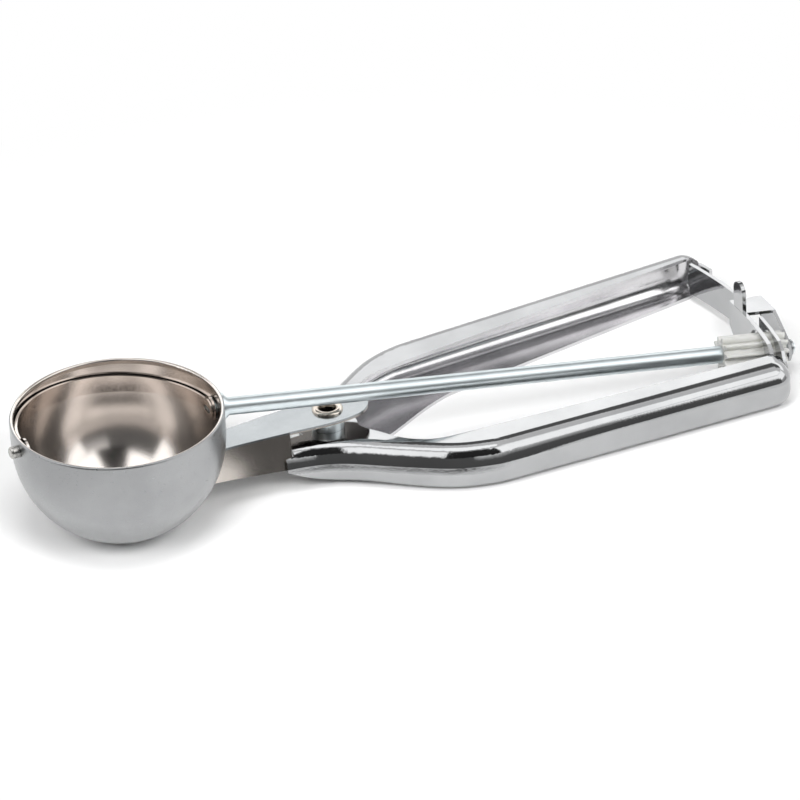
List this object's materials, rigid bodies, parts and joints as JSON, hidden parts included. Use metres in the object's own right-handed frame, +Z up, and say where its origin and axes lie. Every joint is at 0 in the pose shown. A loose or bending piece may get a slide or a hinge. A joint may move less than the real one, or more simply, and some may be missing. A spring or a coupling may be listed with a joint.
{
  "type": "lever ice cream scoop",
  "caption": "Polished steel ice cream scoop with two squeeze handles, a round bowl and a scraper band turned by a long drive rod, nylon pinion and rack",
  "frame": {"origin": "middle of the bounding box at table level, under the neck and pivot", "axes": "+X from the bowl to the handle ends, +Y towards the moving handle, +Z up"},
  "size_m": [0.231, 0.0751, 0.0368],
  "materials": {
    "satin_steel": "satin",
    "chrome": "polished",
    "zinc_steel": "bright zinc",
    "nickel": "satin nickel",
    "spring_steel": "drawn wire",
    "nylon": "translucent natural"
  },
  "bodies": {
    "body": {"bowl": "satin_steel", "neck_bracket": "satin_steel", "front_pivot_pin": "satin_steel", "front_pivot_washer": "zinc_steel", "rear_rod_bush": "zinc_steel", "fixed_handle": "chrome", "rack_guide_bracket": "chrome", "pivot_rivet": "nickel", "pivot_closing_washer": "nickel", "pivot_spacer_sleeve": "zinc_steel", "pivot_top_washer": "zinc_steel", "pivot_wear_washers": "zinc_steel", "return_spring": "spring_steel"},
    "moving_lever": {"moving_handle": "chrome", "rack_arm": "chrome"},
    "rod": {"drive_rod": "zinc_steel", "drive_pinion": "nylon", "rod_end_clip": "spring_steel"},
    "scraper": {"scraper_band": "satin_steel", "scraper_drive_plate": "satin_steel"}
  },
  "joints": [
    {"name": "handle_hinge", "type": "hinge", "parent": "body", "child": "moving_lever", "pos_m": [-0.02112, 0, 0.0091], "axis": [0, 0, -1], "range_deg": [0, 5.69], "stiffness_Nm_per_rad": 3, "springref_deg": -8.59},
    {"name": "rod_spin", "type": "hinge", "parent": "body", "child": "rod", "pos_m": [-0.05592, 0, 0.0297], "axis": [-0.9859, 0.1077, 0.1282], "range_deg": [0, 174.61]},
    {"name": "scraper_sweep", "type": "hinge", "parent": "body", "child": "scraper", "pos_m": [-0.05592, 0, 0.0297], "axis": [-0.9979, 0, 0.0648], "range_deg": [0, 174.61]}
  ],
  "couplings": [
    {"joint": "rod_spin", "follows": "handle_hinge", "ratio": 30.678},
    {"joint": "scraper_sweep", "follows": "handle_hinge", "ratio": 30.678}
  ]
}
